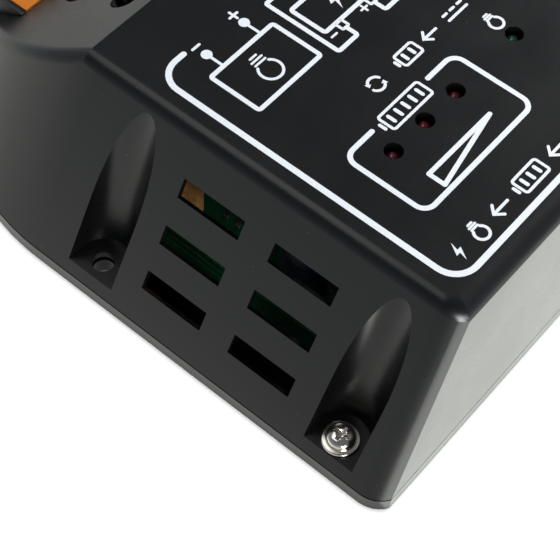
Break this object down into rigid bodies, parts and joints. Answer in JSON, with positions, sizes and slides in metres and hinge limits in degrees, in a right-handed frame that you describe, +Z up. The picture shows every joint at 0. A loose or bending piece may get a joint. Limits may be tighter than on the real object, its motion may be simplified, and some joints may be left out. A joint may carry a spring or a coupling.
{
  "type": "solar charge controller",
  "caption": "Low black plastic charge controller case with slotted leaning ends, lamp row, corner screw pockets and an orange screw terminal block.",
  "frame": {"origin": "centre of the base's underside", "axes": "+Z up, +X to the right and +Y away from the terminals, for someone who reads the label with the terminals nearest"},
  "size_m": [0.1336, 0.1406, 0.043],
  "materials": {
    "case_black": "satin black moulded plastic with a fine texture",
    "base_black": "matt black moulded plastic",
    "board_green": "green solder mask",
    "terminal_orange": "orange moulded nylon",
    "plated_steel": "bright nickel-plated steel",
    "tinned_brass": "tinned brass",
    "aluminium": "extruded aluminium",
    "moulding_black": "black moulding compound",
    "nylon_white": "natural nylon",
    "led_red": "clear tinted red epoxy, unlit",
    "led_green": "clear tinted green epoxy, unlit",
    "film_orange": "orange-brown epoxy",
    "sleeve_dark": "dark shrink sleeve"
  },
  "bodies": {
    "case": {"top_cover": "case_black", "base": "base_black", "circuit_board": "board_green", "terminal_housing": "terminal_orange", "terminal_end_plate_left": "moulding_black", "terminal_end_plate_right": "moulding_black", "terminal_contact_1": "tinned_brass", "terminal_contact_2": "tinned_brass", "terminal_contact_3": "tinned_brass", "terminal_contact_4": "tinned_brass", "terminal_contact_5": "tinned_brass", "terminal_contact_6": "tinned_brass", "led_battery_1": "led_red", "led_battery_2": "led_red", "led_battery_3": "led_red", "led_load": "led_green", "led_solar": "led_green", "led_spacer_battery_1": "nylon_white", "led_spacer_battery_2": "nylon_white", "led_spacer_battery_3": "nylon_white", "led_spacer_load": "nylon_white", "led_spacer_solar": "nylon_white", "heat_sink": "aluminium", "power_transistor_1": "moulding_black", "power_transistor_2": "moulding_black", "power_transistor_3": "moulding_black", "power_transistor_4": "moulding_black", "transistor_screw_1": "plated_steel", "transistor_screw_2": "plated_steel", "transistor_screw_3": "plated_steel", "transistor_screw_4": "plated_steel", "electrolytic_capacitor_1": "sleeve_dark", "electrolytic_capacitor_2": "sleeve_dark", "film_capacitor_1": "film_orange", "film_capacitor_2": "film_orange", "microcontroller": "moulding_black", "voltage_regulator": "moulding_black", "shunt_resistor": "plated_steel", "crystal": "plated_steel", "blocking_diode": "moulding_black", "case_screw_1": "plated_steel", "case_screw_2": "plated_steel", "board_screw_1": "plated_steel", "board_screw_2": "plated_steel", "board_screw_3": "plated_steel", "board_screw_4": "plated_steel"},
    "screw_1": {"terminal_screw_1": "plated_steel"},
    "cage_1": {"clamp_cage_1": "plated_steel"},
    "screw_2": {"terminal_screw_2": "plated_steel"},
    "cage_2": {"clamp_cage_2": "plated_steel"},
    "screw_3": {"terminal_screw_3": "plated_steel"},
    "cage_3": {"clamp_cage_3": "plated_steel"},
    "screw_4": {"terminal_screw_4": "plated_steel"},
    "cage_4": {"clamp_cage_4": "plated_steel"},
    "screw_5": {"terminal_screw_5": "plated_steel"},
    "cage_5": {"clamp_cage_5": "plated_steel"},
    "screw_6": {"terminal_screw_6": "plated_steel"},
    "cage_6": {"clamp_cage_6": "plated_steel"}
  },
  "joints": [
    {"name": "screw_1_turn", "type": "hinge", "parent": "case", "child": "screw_1", "pos_m": [-0.02845, -0.0636, 0.02], "axis": [0, 0, -1], "range_deg": [0, 2160]},
    {"name": "cage_1_rise", "type": "slide", "parent": "case", "child": "cage_1", "axis": [0, 0, 1], "range_m": [0, 0.0042]},
    {"name": "screw_2_turn", "type": "hinge", "parent": "case", "child": "screw_2", "pos_m": [-0.01707, -0.0636, 0.02], "axis": [0, 0, -1], "range_deg": [0, 2160]},
    {"name": "cage_2_rise", "type": "slide", "parent": "case", "child": "cage_2", "axis": [0, 0, 1], "range_m": [0, 0.0042]},
    {"name": "screw_3_turn", "type": "hinge", "parent": "case", "child": "screw_3", "pos_m": [-0.00569, -0.0636, 0.02], "axis": [0, 0, -1], "range_deg": [0, 2160]},
    {"name": "cage_3_rise", "type": "slide", "parent": "case", "child": "cage_3", "axis": [0, 0, 1], "range_m": [0, 0.0042]},
    {"name": "screw_4_turn", "type": "hinge", "parent": "case", "child": "screw_4", "pos_m": [0.00569, -0.0636, 0.02], "axis": [0, 0, -1], "range_deg": [0, 2160]},
    {"name": "cage_4_rise", "type": "slide", "parent": "case", "child": "cage_4", "axis": [0, 0, 1], "range_m": [0, 0.0042]},
    {"name": "screw_5_turn", "type": "hinge", "parent": "case", "child": "screw_5", "pos_m": [0.01707, -0.0636, 0.02], "axis": [0, 0, -1], "range_deg": [0, 2160]},
    {"name": "cage_5_rise", "type": "slide", "parent": "case", "child": "cage_5", "axis": [0, 0, 1], "range_m": [0, 0.0042]},
    {"name": "screw_6_turn", "type": "hinge", "parent": "case", "child": "screw_6", "pos_m": [0.02845, -0.0636, 0.02], "axis": [0, 0, -1], "range_deg": [0, 2160]},
    {"name": "cage_6_rise", "type": "slide", "parent": "case", "child": "cage_6", "axis": [0, 0, 1], "range_m": [0, 0.0042]}
  ],
  "couplings": [
    {"joint": "screw_1_turn", "follows": "cage_1_rise", "rad_per_m": 8975.9},
    {"joint": "screw_2_turn", "follows": "cage_2_rise", "rad_per_m": 8975.9},
    {"joint": "screw_3_turn", "follows": "cage_3_rise", "rad_per_m": 8975.9},
    {"joint": "screw_4_turn", "follows": "cage_4_rise", "rad_per_m": 8975.9},
    {"joint": "screw_5_turn", "follows": "cage_5_rise", "rad_per_m": 8975.9},
    {"joint": "screw_6_turn", "follows": "cage_6_rise", "rad_per_m": 8975.9}
  ]
}
